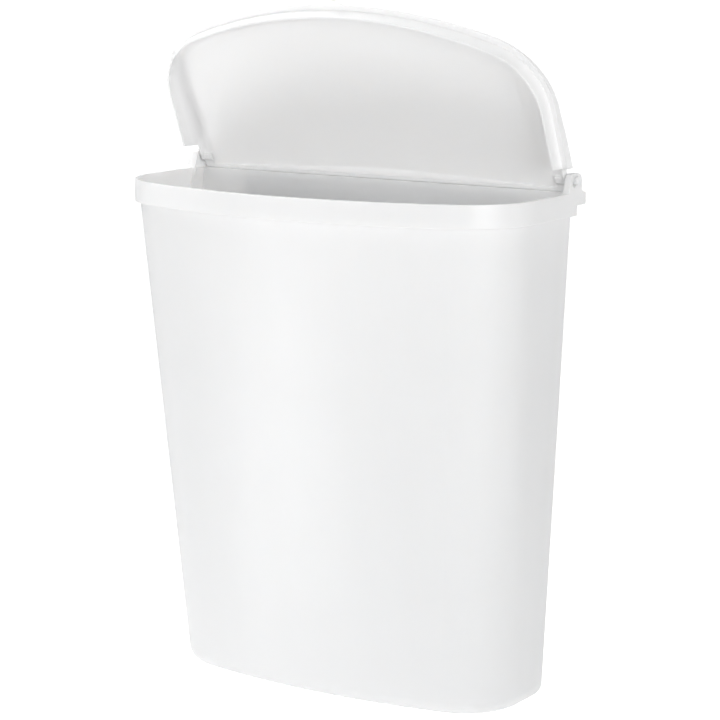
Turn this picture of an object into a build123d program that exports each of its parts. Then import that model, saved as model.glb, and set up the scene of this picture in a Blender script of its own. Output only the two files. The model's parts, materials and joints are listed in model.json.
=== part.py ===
from build123d import *
import math
import os
from collections import namedtuple

# All sizes are in millimetres. The bin is modelled with x across it, the flat back of the
# tub on y = 0, its bowed front towards -y, and the top of the rim on z = 0. Every piece is
# then moved to the frame of the wall: origin on the wall, midway between the two screws.

Outline = namedtuple("Outline", "half_width side corner depth")

# Plan outlines: a straight back, straight sides, rounded front corners and a bowed front.
RIM = Outline(half_width=130.0, side=48.9, corner=42.7, depth=107.3)
FOOT = Outline(half_width=112.5, side=24.8, corner=38.5, depth=70.4)

# Tub
TUB_HEIGHT = 293.1
BAND_HEIGHT = 13.1
BAND_STEP = 3.0
BODY_WALL = 2.2
RIM_WALL = 2.4
FLOOR = 2.6
SEAT_DEPTH = 9.8
SEAT_DRAFT = 0.2
NECK_DEPTH = 17.0
FOOT_RADIUS = 9.0
FOOT_INNER_RADIUS = 6.5
REAR_EDGE_RADIUS = 3.0
INNER_REAR_RADIUS = 3.0
BAND_EDGE_RADIUS = 0.6

# Hinge
HINGE_Y = -1.4
HINGE_Z = 6.85
EAR_THICKNESS = 3.9
EAR_TOP = 10.8
EAR_FRONT_TOP = -6.3
EAR_FRONT_RIM = -10.0
EAR_REAR = 5.2
EAR_FOOT = -12.0
EAR_CORNER = 2.8
EAR_REAR_CORNER = 4.0
GUSSET_TOP_X = 124.6
GUSSET_FOOT_X = 126.4
PIN_RADIUS = 2.15
JOURNAL_RADIUS = 1.6
JOURNAL_CLEARANCE = 0.06
JOURNAL_INNER_END = 119.6
PIN_HEAD_REACH = 1.8
PIN_HEAD_DOME = 1.7
RELIEF_WIDTH = 3.3
RELIEF_END_Y = -3.9
RELIEF_END_Z = 4.7
GRIP_GAP = 0.2
GRIP_REACH = 7.2
GRIP_FOOT = 0.5
GRIP_TOP = 8.2
GRIP_SLOPE = 2.4

# Hanging rail on the back of the rim
RAIL_DEPTH = 10.1
RAIL_HEIGHT = 7.1
RAIL_WEB = 2.2
RAIL_LIP = 2.2
RAIL_CORNER = 1.4

# Lid, in its closed position
LID_OPEN_ANGLE = 66.8
LID = Outline(half_width=129.9, side=48.9, corner=44.0, depth=107.2)
LID_SEAT = 0.3
LID_SHELL = 2.1
LID_CROWN = 10.5
CROWN_RADIUS_ACROSS = 2266.0
CROWN_RADIUS_ALONG = 607.0
LID_EDGE_RADIUS = 0.45
SKIRT_CLEARANCE = 0.8
SKIRT_DRAFT = 0.5
SKIRT_WALL = 1.9
SKIRT_REAR_DEPTH = 9.0
SKIRT_FRONT_DEPTH = 7.8
SKIRT_FILLET = 5.0
NOTCH_Y = -10.7
NOTCH_LEAN = 0.42
NOTCH_X = 125.0
NOTCH_UNDERSIDE = 3.2
APRON_CENTRE_Y = -0.5
APRON_CENTRE_Z = 5.1
APRON_RADIUS = 5.4
CORNER_CUT = 1.0
KNUCKLE_RADIUS = 2.9
KNUCKLE_LENGTH = 7.0
TAB_WIDTH = 16.0
TAB_REACH = 3.5
TAB_TIP_RADIUS = 2.2
TAB_TOP = 1.0

# Wall bracket and screws
WALL_GAP = 10.6
RIM_ABOVE_SCREWS = 35.0
PLATE_HALF_WIDTH = 95.0
PLATE_FOOT = -66.0
PLATE_THICKNESS = 3.0
PLATE_CLEARANCE = 0.3
LEDGE_THICKNESS = 2.4
RIB_THICKNESS = 2.0
RIB_TOP = -9.6
MID_RIB_X = 32.0
PLATE_CORNER = 6.0
BOSS_RADIUS = 7.0
SCREW_SPACING = 120.0
SCREW_RADIUS = 2.0
SCREW_SHANK_RADIUS = 1.7
SCREW_HOLE_RADIUS = 2.25
SCREW_HEAD_RADIUS = 4.0
SCREW_HEAD_HEIGHT = 2.2
SCREW_HEAD_SINK = 0.2
SCREW_REACH = 22.0
SCREW_TIP = 4.0
CROSS_LENGTH = 4.4
CROSS_WIDTH = 0.9
CROSS_DEPTH = 1.3

FAR = 400.0
OVERLAP = 0.5


def inset(outline, amount):
    """The outline moved inwards by the same amount all round."""
    return Outline(
        outline.half_width - amount,
        outline.side,
        outline.corner - amount,
        outline.depth - amount,
    )


def blend(low, high, share):
    """An outline part of the way from one outline to another."""
    return Outline(*(a + (b - a) * share for a, b in zip(low, high)))


def plan_face(outline, z, back=0.0):
    """The plan outline as a flat face at height z, with its straight back on y = back."""
    a, side, corner, depth = outline
    rise = depth - side
    bow = ((a - corner) ** 2 + rise**2 - corner**2) / (2 * (rise - corner))
    bow_y = bow - depth
    reach = math.hypot(a - corner, -side - bow_y)
    away_x = (a - corner) / reach
    away_y = (-side - bow_y) / reach
    join = Vector(a - corner + corner * away_x, -side + corner * away_y)
    bend_x = (1 + away_x) / math.hypot(1 + away_x, away_y)
    bend_y = away_y / math.hypot(1 + away_x, away_y)
    middle = Vector(a - corner + corner * bend_x, -side + corner * bend_y)

    def mirrored(point):
        return Vector(-point.X, point.Y)

    edges = [
        Line((-a, back), (a, back)),
        Line((a, back), (a, -side)),
        ThreePointArc((a, -side), middle, join),
        ThreePointArc(join, (0, -depth), mirrored(join)),
        ThreePointArc(mirrored(join), mirrored(middle), (-a, -side)),
        Line((-a, -side), (-a, back)),
    ]
    return Pos(0, 0, z) * make_face(edges)


def cross_bar(points, x_from, x_to):
    """A straight bar along x with the given section in the y-z plane."""
    section = Plane.YZ * make_face(Polyline(*points, close=True))
    return Pos(x_from, 0, 0) * extrude(section, x_to - x_from)


def block(x_from, x_to, y_from, y_to, z_from, z_to):
    """A box given by its limits."""
    size = (x_to - x_from, y_to - y_from, z_to - z_from)
    centre = ((x_from + x_to) / 2, (y_from + y_to) / 2, (z_from + z_to) / 2)
    return Pos(*centre) * Box(*size)


def rod(radius, x_from, x_to, y=HINGE_Y, z=HINGE_Z):
    """A round bar along x, on the hinge line unless told otherwise."""
    length = x_to - x_from
    return Pos((x_from + x_to) / 2, y, z) * Rot(0, 90, 0) * Cylinder(radius, length)


def body_outline(z, inward=0.0):
    """The tapered tub's outline at height z."""
    share = (z + TUB_HEIGHT) / (TUB_HEIGHT - BAND_HEIGHT)
    return inset(blend(FOOT, inset(RIM, BAND_STEP), share), inward)


def rounded_body(low, high, foot_radius, rear_radius):
    """A tapered solid between two plan faces, with its foot and rear corners rounded."""
    body = loft([low, high], ruled=True)
    body = fillet(body.faces().sort_by(Axis.Z)[0].edges(), foot_radius)
    back = body.faces().sort_by(Axis.Y)[-1]
    uprights = [
        edge
        for edge in back.edges()
        if edge.length > TUB_HEIGHT / 2 and abs(edge.center().X) > FOOT.half_width / 2
    ]
    return fillet(uprights, rear_radius)


def tub_shell():
    """Outer shape of the tub: a tapered body under a wider rim band."""
    foot = plan_face(body_outline(-TUB_HEIGHT), -TUB_HEIGHT)
    neck = plan_face(body_outline(-BAND_HEIGHT), -BAND_HEIGHT)
    body = rounded_body(foot, neck, FOOT_RADIUS, REAR_EDGE_RADIUS)
    band = extrude(plan_face(RIM, -BAND_HEIGHT), BAND_HEIGHT)
    underside = band.faces().sort_by(Axis.Z)[0]
    band = fillet(underside.edges().sort_by(Axis.Y)[:-1], BAND_EDGE_RADIUS)
    return body + band


def tub_hollow():
    """The space inside the tub, with a straight seat for the lid's skirt at the top."""
    base_z = FLOOR - TUB_HEIGHT
    base = plan_face(body_outline(base_z, BODY_WALL), base_z, back=-BODY_WALL)
    neck_outline = body_outline(-NECK_DEPTH, BODY_WALL)
    neck = plan_face(neck_outline, -NECK_DEPTH, back=-BODY_WALL)
    seat_outline = inset(RIM, RIM_WALL + SEAT_DRAFT)
    seat = plan_face(seat_outline, -SEAT_DEPTH, back=-RIM_WALL)
    mouth = plan_face(inset(RIM, RIM_WALL), 0, back=-RIM_WALL)
    body = rounded_body(base, neck, FOOT_INNER_RADIUS, INNER_REAR_RADIUS)
    return body + loft([neck, seat], ruled=True) + loft([seat, mouth], ruled=True)


def ear_side_view():
    """The outline of the ear, the rail end and the gusset, seen from the side."""
    lean = (EAR_FRONT_TOP - EAR_FRONT_RIM) / EAR_TOP
    points = [
        (EAR_FRONT_RIM + lean * EAR_FOOT, EAR_FOOT),
        (EAR_FRONT_TOP, EAR_TOP),
        (EAR_REAR, EAR_TOP),
        (EAR_REAR, 0),
        (RAIL_DEPTH, 0),
        (RAIL_DEPTH, -RAIL_HEIGHT),
        (0, -RAIL_HEIGHT),
        (0, EAR_FOOT),
    ]
    roundings = [
        ((EAR_FRONT_TOP, EAR_TOP), EAR_CORNER),
        ((EAR_REAR, EAR_TOP), EAR_REAR_CORNER),
        ((EAR_REAR, 0), EAR_CORNER),
        ((RAIL_DEPTH, 0), RAIL_CORNER),
        ((RAIL_DEPTH, -RAIL_HEIGHT), RAIL_CORNER),
    ]
    face = make_face(Polyline(*points, close=True))
    for place, radius in roundings:
        face = fillet(face.vertices().sort_by_distance(place)[0], radius)
    return face


def ear_plate(side):
    """The end plate of the rim on one side: an even ear above, a tapered gusset inside."""
    outside = side * RIM.half_width
    ear_inside = side * (RIM.half_width - EAR_THICKNESS)
    thickness = Polyline(
        (outside, EAR_TOP),
        (ear_inside, EAR_TOP),
        (ear_inside, 0),
        (side * GUSSET_TOP_X, 0),
        (side * GUSSET_FOOT_X, EAR_FOOT),
        (outside, EAR_FOOT),
        close=True,
    )
    front_view = extrude(Plane.XZ * make_face(thickness), FAR, both=True)
    side_view = extrude(Plane.YZ * ear_side_view(), 2 * FAR, both=True)
    return front_view & side_view


def hang_rail():
    """The downward hook across the back of the rim, open underneath."""
    end = RIM.half_width - OVERLAP
    section = make_face(
        Polyline(
            (-OVERLAP, 0),
            (RAIL_DEPTH, 0),
            (RAIL_DEPTH, -RAIL_HEIGHT),
            (RAIL_DEPTH - RAIL_LIP, -RAIL_HEIGHT),
            (RAIL_DEPTH - RAIL_LIP, -RAIL_WEB),
            (-OVERLAP, -RAIL_WEB),
            close=True,
        )
    )
    section = fillet(section.vertices().sort_by_distance((RAIL_DEPTH, 0))[0], RAIL_CORNER)
    return Pos(-end, 0, 0) * extrude(Plane.YZ * section, 2 * end)


def relief_slot():
    """The narrow slot that runs from the right pin hole down to the front of the ear."""
    run_y = RELIEF_END_Y - HINGE_Y
    run_z = RELIEF_END_Z - HINGE_Z
    length = math.hypot(run_y, run_z)
    angle = math.degrees(math.atan2(run_z, run_y))
    slot = Pos(length / 2, 0) * SlotCenterToCenter(length, RELIEF_WIDTH)
    section = Plane.YZ * (Pos(HINGE_Y, HINGE_Z) * Rot(0, 0, angle) * slot)
    return Pos(RIM.half_width - 2 * EAR_THICKNESS, 0, 0) * extrude(section, 4 * EAR_THICKNESS)


def tub():
    """The whole moulded tub: shell, ears and hanging rail in one piece."""
    solid = tub_shell() - tub_hollow()
    for side in (-1, 1):
        solid += ear_plate(side)
    solid += hang_rail()
    outer = RIM.half_width + EAR_THICKNESS
    inner = RIM.half_width - 2 * EAR_THICKNESS
    for x_from, x_to in ((-outer, -inner), (inner, outer)):
        solid -= rod(PIN_RADIUS, x_from, x_to)
    return solid - relief_slot()


def crown(depth_below):
    """Everything under the lid's gently domed top surface, lowered by the given amount."""
    centre_z = LID_CROWN - CROWN_RADIUS_ALONG
    radius = CROWN_RADIUS_ALONG - depth_below
    reach = LID.depth + 2 * RAIL_DEPTH
    edge_z = centre_z + math.sqrt(radius**2 - reach**2)
    foot_z = -FAR / 2
    arc = ThreePointArc((-reach, edge_z), (0, centre_z + radius), (reach, edge_z))
    frame = Polyline((reach, edge_z), (reach, foot_z), (-reach, foot_z), (-reach, edge_z))
    section = Plane.YZ * make_face([arc, *frame.edges()])
    axis = Axis((0, 0, LID_CROWN - CROWN_RADIUS_ACROSS), (0, 1, 0))
    half_sweep = math.degrees((LID.half_width + RAIL_DEPTH) / CROWN_RADIUS_ACROSS)
    return revolve(section.rotate(axis, -half_sweep), axis, 2 * half_sweep)


def rear_round(depth_below):
    """Everything in front of the rolled rear edge of the lid, moved inwards by an amount."""
    radius = APRON_RADIUS - depth_below
    turn = math.sqrt(0.5) * radius
    arc = ThreePointArc(
        (APRON_CENTRE_Y + radius, APRON_CENTRE_Z),
        (APRON_CENTRE_Y + turn, APRON_CENTRE_Z + turn),
        (APRON_CENTRE_Y, APRON_CENTRE_Z + radius),
    )
    top = APRON_CENTRE_Z + radius
    low = -FAR / 2
    frame = Polyline(
        (APRON_CENTRE_Y, top),
        (APRON_CENTRE_Y, top + LID_CROWN),
        (-FAR, top + LID_CROWN),
        (-FAR, low),
        (APRON_CENTRE_Y + radius, low),
        (APRON_CENTRE_Y + radius, APRON_CENTRE_Z),
    )
    section = make_face([arc, *frame.edges()])
    return Pos(-FAR, 0, 0) * extrude(Plane.YZ * section, 2 * FAR)


def lid_cap():
    """The solid outer shape of the lid above its seat on the rim."""
    back = APRON_CENTRE_Y + APRON_RADIUS
    cap = extrude(plan_face(LID, LID_SEAT, back=back), 2 * LID_CROWN) & crown(0)
    top = cap.faces().sort_by(Axis.Z)[-1]
    rims = [edge for edge in top.edges() if edge.center().Y < -OVERLAP]
    return fillet(rims, LID_EDGE_RADIUS)


def lid_hollow():
    """The space inside the skirt and under the lid's panel."""
    outline = inset(RIM, RIM_WALL + SKIRT_CLEARANCE + SKIRT_WALL)
    back = APRON_CENTRE_Y + APRON_RADIUS - LID_SHELL
    low = -2 * SKIRT_REAR_DEPTH
    column = extrude(plan_face(outline, low, back=back), 2 * LID_CROWN - low)
    hollow = column & crown(LID_SHELL)
    top = hollow.faces().sort_by(Axis.Z)[-1]
    rims = [edge for edge in top.edges() if edge.center().Y < -OVERLAP]
    return fillet(rims, SKIRT_FILLET) & rear_round(LID_SHELL)


def lid_skirt():
    """The solid plug that drops inside the rim, with a slanted free edge."""
    seat_z = LID_SEAT + OVERLAP
    low_z = LID_SEAT - SKIRT_REAR_DEPTH
    outline = inset(RIM, RIM_WALL + SKIRT_CLEARANCE)
    top = plan_face(outline, seat_z)
    foot = plan_face(inset(outline, SKIRT_DRAFT), low_z)
    plug = loft([foot, top], ruled=True)
    slant = (SKIRT_REAR_DEPTH - SKIRT_FRONT_DEPTH) / LID.depth
    below = cross_bar(
        [
            (0, low_z),
            (-2 * LID.depth, low_z + 2 * slant * LID.depth),
            (-2 * LID.depth, low_z - LID_CROWN),
            (0, low_z - LID_CROWN),
        ],
        -FAR,
        FAR,
    )
    return plug - below


def behind_the_notch(high, x_from, x_to):
    """Everything behind the slanted rear end of the skirt, up to the given height."""
    low = -2 * SKIRT_REAR_DEPTH
    back = 2 * RAIL_DEPTH
    low_y = NOTCH_Y + NOTCH_LEAN * (low - NOTCH_UNDERSIDE)
    high_y = NOTCH_Y + NOTCH_LEAN * (high - NOTCH_UNDERSIDE)
    return cross_bar([(low_y, low), (high_y, high), (back, high), (back, low)], x_from, x_to)


def rear_corner(side):
    """The sliver taken off one rear corner of the lid, to clear the ear as it turns."""
    low = -2 * SKIRT_REAR_DEPTH
    rear = APRON_CENTRE_Y + APRON_RADIUS
    outline = Polyline(
        (side * NOTCH_X, HINGE_Y),
        (side * (NOTCH_X - CORNER_CUT), rear),
        (side * (NOTCH_X - CORNER_CUT), rear + OVERLAP),
        (side * FAR, rear + OVERLAP),
        (side * FAR, HINGE_Y),
        close=True,
    )
    return Pos(0, 0, low) * extrude(make_face(outline), 2 * LID_CROWN - low)


def lid_cutaways():
    """What is cut from the rear of the lid so that it turns between the ears."""
    rear = APRON_CENTRE_Y + APRON_RADIUS + OVERLAP
    low = -2 * SKIRT_REAR_DEPTH
    return [
        behind_the_notch(NOTCH_UNDERSIDE, -FAR, FAR),
        block(-FAR, FAR, APRON_CENTRE_Y, rear, low, APRON_CENTRE_Z),
        behind_the_notch(2 * LID_CROWN, -FAR, -NOTCH_X),
        behind_the_notch(2 * LID_CROWN, NOTCH_X, FAR),
        rear_corner(-1),
        rear_corner(1),
    ]


def knuckle_root(side):
    """The block that fills the lid's rolled edge beside one hinge knuckle."""
    x_from, x_to = sorted((side * NOTCH_X, side * (NOTCH_X - KNUCKLE_LENGTH)))
    front = HINGE_Y - KNUCKLE_RADIUS
    rear = APRON_CENTRE_Y + APRON_RADIUS
    return block(x_from, x_to, front, rear, HINGE_Z - KNUCKLE_RADIUS, 2 * LID_CROWN)


def finger_tab():
    """The small rounded tab at the middle of the lid's front edge."""
    base_y = -LID.depth + OVERLAP
    tip_y = -LID.depth - TAB_REACH
    outline = Polyline(
        (-TAB_WIDTH / 2, base_y), (TAB_WIDTH / 2, base_y), (0, tip_y), close=True
    )
    face = make_face(outline)
    face = fillet(face.vertices().sort_by(Axis.Y)[0], TAB_TIP_RADIUS)
    return Pos(0, 0, LID_SEAT) * extrude(face, TAB_TOP - LID_SEAT)


def lid():
    """The lid with its skirt and knuckles, turned to its open resting position."""
    outside = lid_cap() & rear_round(0)
    solid = (outside + lid_skirt()) - lid_hollow()
    for side in (-1, 1):
        solid += outside & knuckle_root(side)
    for cut in lid_cutaways():
        solid -= cut
    for side in (-1, 1):
        solid += rod(KNUCKLE_RADIUS, *sorted((side * NOTCH_X, side * (NOTCH_X - KNUCKLE_LENGTH))))
    bore = JOURNAL_RADIUS + JOURNAL_CLEARANCE
    for side in (-1, 1):
        ends = sorted((side * (NOTCH_X + OVERLAP), side * (JOURNAL_INNER_END - OVERLAP)))
        solid -= rod(bore, *ends)
    solid += finger_tab()
    return solid.rotate(Axis((0, HINGE_Y, HINGE_Z), (1, 0, 0)), -LID_OPEN_ANGLE)


def right_hinge_pin():
    """A stepped pin pressed in the right ear, with a domed head standing out of it."""
    shoulder = RIM.half_width - EAR_THICKNESS
    pin = rod(PIN_RADIUS, shoulder, RIM.half_width)
    pin += rod(JOURNAL_RADIUS, JOURNAL_INNER_END, shoulder)
    head = rod(PIN_RADIUS, RIM.half_width, RIM.half_width + PIN_HEAD_REACH)
    end = head.faces().sort_by(Axis.X)[-1]
    return pin + fillet(end.edges(), PIN_HEAD_DOME)


def left_hinge_pin():
    """The same stepped pin for the left ear, with a flat grip to pull it out by."""
    shoulder = -RIM.half_width + EAR_THICKNESS
    inner = -RIM.half_width - GRIP_GAP
    outer = -RIM.half_width - GRIP_REACH
    pin = rod(PIN_RADIUS, inner - OVERLAP, shoulder)
    pin += rod(JOURNAL_RADIUS, shoulder, -JOURNAL_INNER_END)
    section = Polyline(
        (inner, GRIP_FOOT), (inner, GRIP_TOP), (outer, GRIP_TOP - GRIP_SLOPE), (outer, GRIP_FOOT),
        close=True,
    )
    face = make_face(section)
    face = fillet(face.vertices().sort_by(Axis.X)[:2], PIN_RADIUS / 2)
    grip = extrude(Plane.XZ * face, PIN_RADIUS, both=True)
    return pin + Pos(0, HINGE_Y, 0) * grip


def screw_places():
    """Where the two screws go, measured from the top of the rim."""
    return [(side * SCREW_SPACING / 2, -RIM_ABOVE_SCREWS) for side in (-1, 1)]


def along_y(section_points):
    """A turned shape about the y axis from (distance along y, radius) points."""
    points = [(radius, distance) for distance, radius in section_points]
    return revolve(make_face(Polyline(*points, close=True)), Axis.Y)


def bracket_plate():
    """The front plate of the bracket, with the ledge that the rail hooks over."""
    half = PLATE_HALF_WIDTH
    rear = PLATE_CLEARANCE + PLATE_THICKNESS
    plate = block(-half, half, PLATE_CLEARANCE, rear, PLATE_FOOT, -RAIL_WEB)
    plate = fillet(plate.edges().filter_by(Axis.Y).sort_by(Axis.Z)[:2], PLATE_CORNER)
    ledge_rear = RAIL_DEPTH - RAIL_LIP - PLATE_CLEARANCE
    ledge_low = -RAIL_WEB - LEDGE_THICKNESS
    return plate + block(-half, half, PLATE_CLEARANCE, ledge_rear, ledge_low, -RAIL_WEB)


def rib_block(margin, front):
    """A block between the plate and the wall, set in from the plate's edges."""
    half = PLATE_HALF_WIDTH - margin
    solid = block(-half, half, front, WALL_GAP, PLATE_FOOT + margin, RIB_TOP - margin)
    feet = solid.edges().filter_by(Axis.Y).sort_by(Axis.Z)[:2]
    return fillet(feet, PLATE_CORNER - margin)


def bracket_ribs():
    """The rib frame behind the plate, with two upright ribs across it."""
    rear = PLATE_CLEARANCE + PLATE_THICKNESS
    front = rear - OVERLAP
    ribs = rib_block(0, front) - rib_block(RIB_THICKNESS, rear)
    for x in (-MID_RIB_X, MID_RIB_X):
        left = x - RIB_THICKNESS / 2
        right = x + RIB_THICKNESS / 2
        ribs += block(left, right, front, WALL_GAP, PLATE_FOOT + OVERLAP, RIB_TOP - OVERLAP)
    return ribs


def screw_boss():
    """The round boss that carries one screw through to the wall."""
    front = PLATE_CLEARANCE + PLATE_THICKNESS - OVERLAP
    return along_y([(front, 0), (front, BOSS_RADIUS), (WALL_GAP, BOSS_RADIUS), (WALL_GAP, 0)])


def screw_hole():
    """A countersunk hole through the plate and the boss."""
    seat = PLATE_CLEARANCE + SCREW_HEAD_SINK
    mouth_radius = SCREW_HEAD_RADIUS + SCREW_HEAD_SINK
    return along_y(
        [
            (PLATE_CLEARANCE - OVERLAP, 0),
            (PLATE_CLEARANCE - OVERLAP, mouth_radius),
            (seat, mouth_radius),
            (seat + SCREW_HEAD_HEIGHT, SCREW_HOLE_RADIUS),
            (WALL_GAP + OVERLAP, SCREW_HOLE_RADIUS),
            (WALL_GAP + OVERLAP, 0),
        ]
    )


def wall_bracket():
    """The moulded wall plate with its ledge, ribs and screw bosses."""
    bracket = bracket_plate() + bracket_ribs()
    for x, z in screw_places():
        bracket += Pos(x, 0, z) * screw_boss()
        bracket -= Pos(x, 0, z) * screw_hole()
    return bracket


def wall_screw():
    """A countersunk screw with a cross recess, head towards the tub."""
    head = PLATE_CLEARANCE + SCREW_HEAD_SINK
    solid = along_y(
        [
            (head, 0),
            (head, SCREW_HEAD_RADIUS),
            (head + SCREW_HEAD_HEIGHT, SCREW_SHANK_RADIUS),
            (WALL_GAP, SCREW_SHANK_RADIUS),
            (WALL_GAP, SCREW_RADIUS),
            (WALL_GAP + SCREW_REACH - SCREW_TIP, SCREW_RADIUS),
            (WALL_GAP + SCREW_REACH, 0),
        ]
    )
    reach = CROSS_LENGTH / 2
    half = CROSS_WIDTH / 2
    solid -= block(-reach, reach, head - OVERLAP, head + CROSS_DEPTH, -half, half)
    return solid - block(-half, half, head - OVERLAP, head + CROSS_DEPTH, -reach, reach)


def wall_screws():
    """Both screws as one group."""
    return Compound([Pos(x, 0, z) * wall_screw() for x, z in screw_places()])


PIECES = {
    "tub": tub,
    "lid": lid,
    "left_hinge_pin": left_hinge_pin,
    "right_hinge_pin": right_hinge_pin,
    "wall_bracket": wall_bracket,
    "wall_screws": wall_screws,
}

os.makedirs("parts", exist_ok=True)
to_wall_frame = Pos(0, -WALL_GAP, RIM_ABOVE_SCREWS)
for name, build in PIECES.items():
    export_step(to_wall_frame * build(), f"parts/{name}.step")
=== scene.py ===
import json
import math

import bpy
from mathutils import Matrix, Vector


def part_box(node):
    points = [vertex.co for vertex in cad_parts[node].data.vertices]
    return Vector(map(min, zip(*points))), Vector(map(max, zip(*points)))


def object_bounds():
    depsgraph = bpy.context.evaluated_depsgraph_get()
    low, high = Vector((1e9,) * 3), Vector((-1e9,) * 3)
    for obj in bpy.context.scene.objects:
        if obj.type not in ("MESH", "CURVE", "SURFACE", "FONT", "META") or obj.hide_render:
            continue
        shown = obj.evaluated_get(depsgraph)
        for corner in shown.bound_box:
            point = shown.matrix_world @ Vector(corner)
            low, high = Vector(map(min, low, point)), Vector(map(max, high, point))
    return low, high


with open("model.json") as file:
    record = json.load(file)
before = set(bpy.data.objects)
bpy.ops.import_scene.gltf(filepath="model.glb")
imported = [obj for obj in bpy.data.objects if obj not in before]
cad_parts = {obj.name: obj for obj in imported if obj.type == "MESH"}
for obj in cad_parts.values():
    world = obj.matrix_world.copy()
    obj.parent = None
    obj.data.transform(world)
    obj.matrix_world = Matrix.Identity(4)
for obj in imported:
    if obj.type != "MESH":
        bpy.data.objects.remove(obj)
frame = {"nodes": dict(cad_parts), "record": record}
cad_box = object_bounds()

# Lengths are in metres unless the name says otherwise. Azimuths are in degrees from straight in
# front of the bin round towards +X, and elevations in degrees above the horizon. A noise scale
# is roughly how many patches there are in a metre, and a span is the part of the noise in use.

# Camera
CAMERA_AZIMUTH = 33.2
CAMERA_ELEVATION = 10.3
CAMERA_DISTANCE = 1.4314
CAMERA_LENS_MM = 126.3
CAMERA_SENSOR_MM = 36.0
CAMERA_CLIP_END = 200

# The point that the camera is aimed at, inside the tub
AIM_ACROSS = 0.0191
AIM_BEHIND_FRONT = 0.0573
AIM_BELOW_RIM = 0.0974
HINGE_ABOVE_RIM = 0.00685

# Studio: how bright the camera sees the floor and the surround, and how much the surround lights
SEEN_WHITE = 1.15
SURROUND_FILL = 0.19
FLOOR_DROP = 0.45
FLOOR_SIZE = 60.0
FLOOR_MOTTLE_SCALE = 3
FLOOR_MOTTLE_SPAN = (0.3, 0.7)
FLOOR_ROUGHNESS = 0.9
LIGHTS = {
    # name: (azimuth, elevation, distance, width, height, watts)
    "backlight": (180, 10, 1.9, 1.3, 0.9, 15.0),
    "left_top": (-100, 45, 1.9, 0.9, 0.9, 25.0),
    "left": (-65, 10, 1.9, 0.9, 0.9, 7.0),
    "front_left": (-30, 10, 1.9, 0.9, 0.9, 6.0),
    "front_top": (0, 45, 1.9, 0.9, 0.9, 2.4),
    "top": (0, 85, 1.9, 0.9, 0.9, 5.0),
    "right": (60, 10, 1.9, 0.9, 0.9, 17.6),
    "right_top": (95, 45, 1.9, 0.9, 0.9, 2.2),
    "low_sheen": (-38, -24, 1.1, 0.45, 0.35, 1.5),
}

# Colours of each material's darker and lighter patches
TUB_TONES = ((0.87, 0.87, 0.87), (0.90, 0.90, 0.90))
# The lid's tones are lighter than the tub's same plastic: painted light that brightens the lid's
# shaded underside.
LID_TONES_LIFTED_BY_PAINTED_LIGHT = ((0.95, 0.95, 0.95), (0.97, 0.97, 0.97))
PIN_TONES = ((0.86, 0.86, 0.86), (0.90, 0.90, 0.90))
BRACKET_TONES = ((0.75, 0.75, 0.74), (0.80, 0.80, 0.79))
STEEL_TONES = ((0.46, 0.46, 0.45), (0.68, 0.68, 0.70))
FLOOR_TONES = ((0.88, 0.88, 0.88), (0.92, 0.92, 0.92))

# Roughness of each plastic, before its rubs and duller patches
TUB_ROUGHNESS = 0.32
LID_ROUGHNESS = 0.34
PIN_ROUGHNESS = 0.34
BRACKET_ROUGHNESS = 0.42

# Plastic colour: broad mottling and flow lines drawn out along the height
MOTTLE_SCALE = 9
FLOW_SCALE = 24
FLOW_STRETCH = (1, 1, 0.12)
TONE_SPAN = (0.6, 1.4)

# Plastic gloss: fine rubs drawn out sideways, and a slow change from glossier to duller
RUB_SCALE = 900
RUB_STRETCH = (0.15, 1, 1)
RUB_NOISE_ROUGHNESS = 0.6
RUB_SPAN = (0.35, 0.75)
RUB_ROUGHNESS = 0.04
BLUSH_SCALE = 22
BLUSH_SPAN = (0.2, 0.8)
BLUSH_GLOSSIER = 0.03
BLUSH_DULLER = 0.05

# Plastic relief: a soft orange peel under a fine grain
PEEL_SCALE = 180
PEEL_TO_GRAIN = 2.0
GRAIN_SCALE = 2600
GRAIN_DEPTH = 0.000004
BRACKET_GRAIN_DEPTH = 0.00001
EDGE_RADIUS = 0.0005
PIN_EDGE_RADIUS = 0.0002

# Plastic body: how light scatters in it, and its thin clear skin
PLASTIC_IOR = 1.49
TRANSLUCENCY = 0.55
SCATTER_DEPTH = 0.007
SCATTER_COLOUR = (1.0, 0.95, 0.9)
SKIN_WEIGHT = 0.12
SKIN_ROUGHNESS = 0.2

# The lid passes no light beyond this distance from the bin's middle, where its knuckles are solid
KNUCKLE_X = 0.1155
KNUCKLE_FADE = 0.001

# Screw steel: dull patches, and turning marks drawn out round the shank
STEEL_PATCH_SCALE = 700
STEEL_PATCH_SPAN = (0.35, 0.65)
STEEL_MARK_SCALE = 3000
STEEL_MARK_STRETCH = (0.1, 1, 0.1)
STEEL_MARK_SPAN = (0.3, 0.7)
STEEL_MARK_DEPTH = 0.00004
STEEL_ROUGHNESS = (0.22, 0.45)
STEEL_EDGE_RADIUS = 0.0002

BEVEL_SAMPLES = 6
FULL_RANGE = (0, 1)


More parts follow.
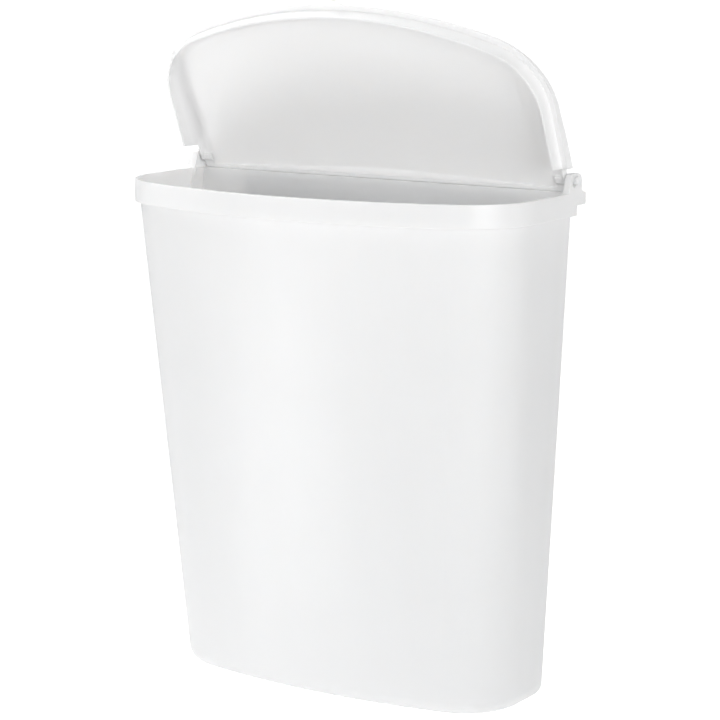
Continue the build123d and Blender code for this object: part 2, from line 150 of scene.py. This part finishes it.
class Nodes:
    """Builds one node-based material."""

    def __init__(self, name):
        self.material = bpy.data.materials.new(name)
        self.material.use_nodes = True
        self.tree = self.material.node_tree
        self.shader = self.tree.nodes["Principled BSDF"]

    def add(self, kind, **settings):
        """Adds a node and sets its properties."""
        node = self.tree.nodes.new(kind)
        for key, value in settings.items():
            setattr(node, key, value)
        return node

    def link(self, source, target):
        self.tree.links.new(source, target)

    def set(self, **values):
        """Sets plain values on the shader, with _ for each space in a socket's name."""
        for key, value in values.items():
            self.shader.inputs[key.replace("_", " ")].default_value = value

    def drive(self, socket, source):
        """Feeds a value into one of the shader's sockets."""
        self.link(source, self.shader.inputs[socket])

    def place(self):
        """Where a point is on its own piece, in metres."""
        return self.add("ShaderNodeTexCoord").outputs["Object"]

    def across(self):
        """How far a point is from the middle of the bin, to the left or right, in metres."""
        split = self.add("ShaderNodeSeparateXYZ")
        self.link(self.place(), split.inputs["Vector"])
        return self.maths("ABSOLUTE", split.outputs["X"])

    def noise(self, scale, detail, roughness=0.5, stretch=(1, 1, 1)):
        """Noise that stays with its piece, drawn out along each axis whose stretch is under 1."""
        mapping = self.add("ShaderNodeMapping")
        mapping.inputs["Scale"].default_value = stretch
        self.link(self.place(), mapping.inputs["Vector"])
        noise = self.add("ShaderNodeTexNoise")
        noise.inputs["Scale"].default_value = scale
        noise.inputs["Detail"].default_value = detail
        noise.inputs["Roughness"].default_value = roughness
        self.link(mapping.outputs["Vector"], noise.inputs["Vector"])
        return noise.outputs["Fac"]

    def remap(self, value, span, result):
        """Turns one range of a value into another, held inside the new range."""
        node = self.add("ShaderNodeMapRange")
        node.inputs["From Min"].default_value = span[0]
        node.inputs["From Max"].default_value = span[1]
        node.inputs["To Min"].default_value = result[0]
        node.inputs["To Max"].default_value = result[1]
        self.link(value, node.inputs["Value"])
        return node.outputs["Result"]

    def maths(self, operation, *values):
        """Arithmetic on values that are plain numbers or outputs of other nodes."""
        node = self.add("ShaderNodeMath", operation=operation)
        for socket, value in zip(node.inputs, values):
            if isinstance(value, (int, float)):
                socket.default_value = value
            else:
                self.link(value, socket)
        return node.outputs["Value"]

    def blend(self, share, tones):
        """A colour between the darker tone, at 0, and the lighter one, at 1."""
        dark, light = tones
        node = self.add("ShaderNodeMix", data_type="RGBA")
        self.link(share, node.inputs["Factor"])
        node.inputs["A"].default_value = (*dark, 1)
        node.inputs["B"].default_value = (*light, 1)
        return node.outputs["Result"]

    def relief(self, heights, edge_radius):
        """Stacks bumps of (height value, depth in metres) on a softened edge normal."""
        bevel = self.add("ShaderNodeBevel", samples=BEVEL_SAMPLES)
        bevel.inputs["Radius"].default_value = edge_radius
        normal = bevel.outputs["Normal"]
        for height, depth in heights:
            bump = self.add("ShaderNodeBump")
            bump.inputs["Strength"].default_value = 1.0
            bump.inputs["Distance"].default_value = depth
            self.link(height, bump.inputs["Height"])
            self.link(normal, bump.inputs["Normal"])
            normal = bump.outputs["Normal"]
        self.drive("Normal", normal)


def plastic_colour(nodes, tones):
    """Faint mottling with flow lines."""
    mottle = nodes.noise(MOTTLE_SCALE, detail=3)
    flow = nodes.noise(FLOW_SCALE, detail=2, stretch=FLOW_STRETCH)
    share = nodes.remap(nodes.maths("ADD", mottle, flow), TONE_SPAN, FULL_RANGE)
    nodes.drive("Base Color", nodes.blend(share, tones))


def plastic_gloss(nodes, roughness):
    """Fine rubs over slow changes of gloss."""
    rubs = nodes.noise(RUB_SCALE, detail=3, roughness=RUB_NOISE_ROUGHNESS, stretch=RUB_STRETCH)
    rubs = nodes.remap(rubs, RUB_SPAN, (0, RUB_ROUGHNESS))
    blush = nodes.noise(BLUSH_SCALE, detail=3)
    blush = nodes.remap(blush, BLUSH_SPAN, (roughness - BLUSH_GLOSSIER, roughness + BLUSH_DULLER))
    nodes.drive("Roughness", nodes.maths("ADD", rubs, blush))


def plastic_relief(nodes, grain_depth, edge_radius):
    """Orange peel and fine grain."""
    peel = nodes.noise(PEEL_SCALE, detail=1)
    grain = nodes.noise(GRAIN_SCALE, detail=2)
    nodes.relief([(peel, grain_depth * PEEL_TO_GRAIN), (grain, grain_depth)], edge_radius)


def plastic_body(nodes, solid_beyond):
    """Light that scatters inside the wall, except beyond a distance from the bin's middle."""
    nodes.set(IOR=PLASTIC_IOR, Coat_Weight=SKIN_WEIGHT, Coat_Roughness=SKIN_ROUGHNESS)
    nodes.set(Subsurface_Weight=TRANSLUCENCY)
    nodes.set(Subsurface_Scale=SCATTER_DEPTH, Subsurface_Radius=SCATTER_COLOUR)
    if solid_beyond:
        fade = (solid_beyond, solid_beyond + KNUCKLE_FADE)
        nodes.drive("Subsurface Weight", nodes.remap(nodes.across(), fade, (TRANSLUCENCY, 0)))


def moulded_plastic(
    name, tones, roughness, grain_depth=GRAIN_DEPTH, edge_radius=EDGE_RADIUS, solid_beyond=None
):
    """White injection-moulded plastic."""
    nodes = Nodes(name)
    plastic_colour(nodes, tones)
    plastic_gloss(nodes, roughness)
    plastic_relief(nodes, grain_depth, edge_radius)
    plastic_body(nodes, solid_beyond)
    return nodes.material


def plated_steel(name):
    """Zinc-plated screw steel with turning marks and dull patches."""
    nodes = Nodes(name)
    patches = nodes.noise(STEEL_PATCH_SCALE, detail=5)
    patches = nodes.remap(patches, STEEL_PATCH_SPAN, FULL_RANGE)
    nodes.drive("Base Color", nodes.blend(patches, STEEL_TONES))
    marks = nodes.noise(STEEL_MARK_SCALE, detail=2, stretch=STEEL_MARK_STRETCH)
    nodes.drive("Roughness", nodes.remap(marks, STEEL_MARK_SPAN, STEEL_ROUGHNESS))
    nodes.relief([(marks, STEEL_MARK_DEPTH)], STEEL_EDGE_RADIUS)
    nodes.set(Metallic=1.0)
    return nodes.material


def pale_floor(name):
    """A pale studio sweep with a faint mottle, which the camera sees as evenly white."""
    nodes = Nodes(name)
    mottle = nodes.noise(FLOOR_MOTTLE_SCALE, detail=3)
    colour = nodes.blend(nodes.remap(mottle, FLOOR_MOTTLE_SPAN, FULL_RANGE), FLOOR_TONES)
    nodes.drive("Base Color", colour)
    nodes.drive("Emission Color", colour)
    nodes.set(Roughness=FLOOR_ROUGHNESS)
    seen = nodes.add("ShaderNodeLightPath").outputs["Is Camera Ray"]
    nodes.drive("Emission Strength", nodes.maths("MULTIPLY", seen, SEEN_WHITE))
    return nodes.material


def paint(piece, material):
    """Gives a carried-over CAD piece its material."""
    mesh = frame["nodes"][piece].data
    mesh.materials.clear()
    mesh.materials.append(material)


def paint_pieces():
    """Gives every piece its material."""
    tub_plastic = moulded_plastic("tub_plastic", TUB_TONES, TUB_ROUGHNESS)
    # The lid's lighter tones are painted light on its underside.
    lid_plastic = moulded_plastic("lid_plastic", LID_TONES_LIFTED_BY_PAINTED_LIGHT, LID_ROUGHNESS, solid_beyond=KNUCKLE_X)
    pin_plastic = moulded_plastic(
        "pin_plastic", PIN_TONES, PIN_ROUGHNESS, edge_radius=PIN_EDGE_RADIUS
    )
    bracket_plastic = moulded_plastic(
        "bracket_plastic", BRACKET_TONES, BRACKET_ROUGHNESS, grain_depth=BRACKET_GRAIN_DEPTH
    )
    paint("tub", tub_plastic)
    paint("lid", lid_plastic)
    paint("left_hinge_pin", pin_plastic)
    paint("right_hinge_pin", pin_plastic)
    paint("wall_bracket", bracket_plastic)
    paint("wall_screws", plated_steel("screw_steel"))


def lay_floor():
    """A large flat sheet well below the bin."""
    low = cad_box[0].z - FLOOR_DROP
    half = FLOOR_SIZE / 2
    corners = [(-half, -half, low), (half, -half, low), (half, half, low), (-half, half, low)]
    mesh = bpy.data.meshes.new("studio_floor")
    mesh.from_pydata(corners, [], [(0, 1, 2, 3)])
    mesh.materials.append(pale_floor("pale_floor"))
    floor = bpy.data.objects.new("studio_floor", mesh)
    bpy.context.scene.collection.objects.link(floor)


def direction(azimuth, elevation):
    """Unit vector towards a place given round the bin and above the horizon."""
    turn = math.radians(azimuth)
    rise = math.radians(elevation)
    flat = math.cos(rise)
    return Vector((math.sin(turn) * flat, -math.cos(turn) * flat, math.sin(rise)))


def hang_lights():
    """Soft boxes round the bin, all aimed at its middle."""
    middle = (cad_box[0] + cad_box[1]) / 2
    for name, (azimuth, elevation, distance, width, height, watts) in LIGHTS.items():
        light = bpy.data.lights.new(name, "AREA")
        light.shape = "RECTANGLE"
        light.size = width
        light.size_y = height
        light.energy = watts
        lamp = bpy.data.objects.new(name, light)
        away = direction(azimuth, elevation)
        lamp.location = middle + away * distance
        lamp.rotation_euler = away.to_track_quat("Z", "Y").to_euler()
        lamp.visible_camera = False
        bpy.context.scene.collection.objects.link(lamp)


def light_world():
    """A surround that the camera sees as white and that lights the bin with an even fill."""
    world = bpy.data.worlds.new("studio")
    world.use_nodes = True
    tree = world.node_tree
    background = tree.nodes["Background"]
    background.inputs["Color"].default_value = (1, 1, 1, 1)
    path = tree.nodes.new("ShaderNodeLightPath")
    strength = tree.nodes.new("ShaderNodeMapRange")
    strength.inputs["To Min"].default_value = SURROUND_FILL
    strength.inputs["To Max"].default_value = SEEN_WHITE
    tree.links.new(path.outputs["Is Camera Ray"], strength.inputs["Value"])
    tree.links.new(strength.outputs["Result"], background.inputs["Strength"])
    bpy.context.scene.world = world


def aim_point():
    """The point inside the tub that the camera looks at."""
    tub_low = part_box("tub")[0]
    joints = {joint["name"]: joint for joint in frame["record"]["behaviour"]["joints"]}
    rim_top = joints["lid_hinge"]["pos_m"][2] - HINGE_ABOVE_RIM
    return Vector((AIM_ACROSS, tub_low.y + AIM_BEHIND_FRONT, rim_top - AIM_BELOW_RIM))


def set_camera():
    """A long lens that sees the bin from the right of its front and a little above its rim."""
    data = bpy.data.cameras.new("camera")
    data.lens = CAMERA_LENS_MM
    data.sensor_width = CAMERA_SENSOR_MM
    data.clip_end = CAMERA_CLIP_END
    camera = bpy.data.objects.new("camera", data)
    away = direction(CAMERA_AZIMUTH, CAMERA_ELEVATION)
    camera.location = aim_point() + away * CAMERA_DISTANCE
    camera.rotation_euler = away.to_track_quat("Z", "Y").to_euler()
    bpy.context.scene.collection.objects.link(camera)
    bpy.context.scene.camera = camera


paint_pieces()
lay_floor()
hang_lights()
light_world()
set_camera()
bpy.context.scene.view_settings.view_transform = "Standard"
